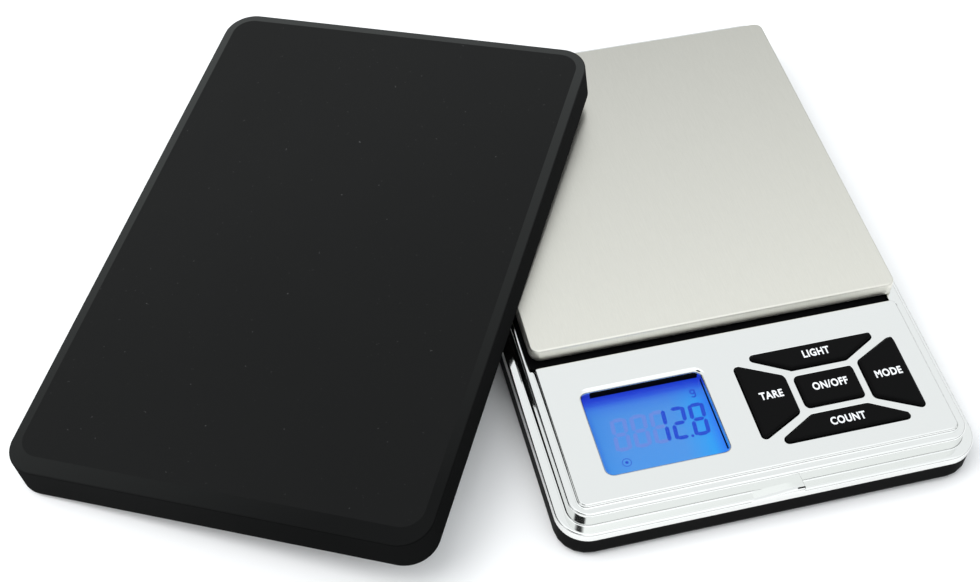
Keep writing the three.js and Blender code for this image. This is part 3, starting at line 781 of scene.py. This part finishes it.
def protective_cover():
    """A shallow lid, hollow underneath, with a groove round its side just below the chamfer."""
    width, length, height = COVER_SIZE
    outline = box2(-width / 2, width / 2, -length / 2, length / 2)
    wall, roof, wall_top = 1.8, 1.3, height - 0.35
    bevels = (3.5, 2.0, 2.0, 2.0)
    top_finish, chamfer_finish, side_finish = range(3)

    def part(share, extra=0.0):
        """The chamfer's inset from each side, from its outer edge at 0 to the flat top at 1."""
        return tuple(0.25 + (b - 0.25) * share + extra for b in bevels)

    skin = Skin()
    levels = [(0.0, 0.35), (0.03, 0.1), (0.15, 0.0), (wall_top - 0.45, 0.0), (wall_top - 0.42, 0.04)]
    levels += [(wall_top - 0.36, 0.28), (wall_top - 0.2, 0.28), (wall_top - 0.14, 0.04)]
    levels += quarter(wall_top - 0.12, 0.0, wall_top, 0.2, 4)
    skin.finish = side_finish
    low, edge = skin.rise(outline, CASE_RADIUS, levels, 14)
    skin.finish = chamfer_finish
    chamfer = [(wall_top + 0.01, 0.25), (height - 0.03, part(0.94))]
    start, stop = skin.rise(outline, CASE_RADIUS, chamfer, 14)
    skin.band(edge, start)
    skin.finish = top_finish
    ease = [(height - 0.01, part(0.98)), (height, part(1.0, 0.15))]
    start, high = skin.rise(outline, CASE_RADIUS, ease, 14)
    skin.band(stop, start)
    skin.cap(high)
    skin.finish = side_finish
    inner = [(0.0, wall - 0.2), (0.1, wall), (height - roof - 0.3, wall), (height - roof, wall + 0.3)]
    inner_low, inner_high = skin.rise(outline, CASE_RADIUS, inner, 14, inward=True)
    skin.cap(inner_high, up=False)
    skin.band(low, inner_low, inward=True)
    finishes = [COVER_BLACK, COVER_CHAMFER_PAINTED_LIGHT, COVER_SIDE_PAINTED_LIGHT]
    skin.piece("black_cover", finishes, "cover", "cover_plastic", ["protective_cover"], cover_matrix())


protective_cover()

# ---------- finishes of the inner pieces that keep their CAD shape ----------
inner_finishes = {
    "circuit_board": BOARD_GREEN, "controller_chip": KEY_BLACK, "backlight_panel": SILICONE,
    "display_connector_strip": RUBBER, "key_dome_mat": SILICONE, "load_cell_beam": ALUMINIUM,
    "platform_spacer": ALUMINIUM, "platform_carrier": DECK_BLACK, "load_cell_lead": WIRE_RED,
}
replaced_nodes = {n for o in scene.objects for n in o.get("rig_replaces", [])}
for node, piece in nodes.items():
    if node in replaced_nodes:
        continue
    piece.data.materials.clear()
    piece.data.materials.append(inner_finishes.get(node, STEEL))


# ---------- floor and light ----------
def make_floor():
    paint = Paint("pale_floor", (0.93, 0.93, 0.935, 1), 0.7, specular=0.2)
    paint.drive("Roughness", paint.ramp(paint.noise(6, 3), 0.66, 0.74))
    bm = bmesh.new()
    square = box2(-FLOOR_HALF, FLOOR_HALF, -FLOOR_HALF, FLOOR_HALF)
    bm.faces.new([bm.verts.new((x, y, FLOOR_Z * MM)) for x, y in square])
    mesh = bpy.data.meshes.new("floor")
    bm.to_mesh(mesh)
    bm.free()
    mesh.materials.append(paint.material)
    floor = bpy.data.objects.new("floor", mesh)
    scene.collection.objects.link(floor)


make_floor()


def make_world():
    """A white studio, brighter in front, dim near the horizon, with a dark flag at the front left."""
    world = bpy.data.worlds.new("studio")
    scene.world = world
    world.use_nodes = True
    tree = world.node_tree
    background = tree.nodes["Background"]
    direction = tree.nodes.new("ShaderNodeTexCoord").outputs["Generated"]

    def ramp(source, stops):
        return ramp_node(tree, source, [
            (place, (value * 0.985, value * 0.995, value, 1)) for place, value in stops])

    def towards(x, y, z):
        made = tree.nodes.new("ShaderNodeVectorMath")
        made.operation = "DOT_PRODUCT"
        tree.links.new(direction, made.inputs[0])
        made.inputs[1].default_value = Vector((x, y, z)).normalized()
        return made.outputs["Value"]

    def product(first, second):
        return mix_node(tree, 1.0, first, second, "MULTIPLY")

    height = ramp(towards(0, 0, 1), [(0.0, 0.04), (0.14, 0.07), (0.28, 0.95), (0.6, 1.0),
                                     (0.87, 1.0), (0.95, 1.3), (1.0, 1.35)])
    front = ramp(towards(0, -1, 0.35), [(0.0, 1.0), (0.3, 1.03), (0.6, 1.15), (1.0, 1.22)])
    flag = ramp(towards(-0.5, -0.4, 0.76), [(0.0, 1.0), (0.93, 1.0), (0.965, 0.03), (1.0, 0.02)])
    tree.links.new(product(product(height, front), flag), background.inputs["Color"])
    background.inputs["Strength"].default_value = 1.0


make_world()


def area_light(name, place, target, size, power):
    data = bpy.data.lights.new(name, "AREA")
    data.shape = "RECTANGLE"
    data.size, data.size_y = size
    data.energy = power
    light = bpy.data.objects.new(name, data)
    scene.collection.objects.link(light)
    light.visible_glossy = False
    light.location = place
    light.rotation_mode = "QUATERNION"
    light.rotation_quaternion = (Vector(target) - Vector(place)).to_track_quat("-Z", "Y")


area_light("key_softbox", (-0.5, -0.1, 0.75), (-0.03, 0.0, 0.0), (0.6, 0.6), 5.0)
scene.view_settings.view_transform = "Standard"
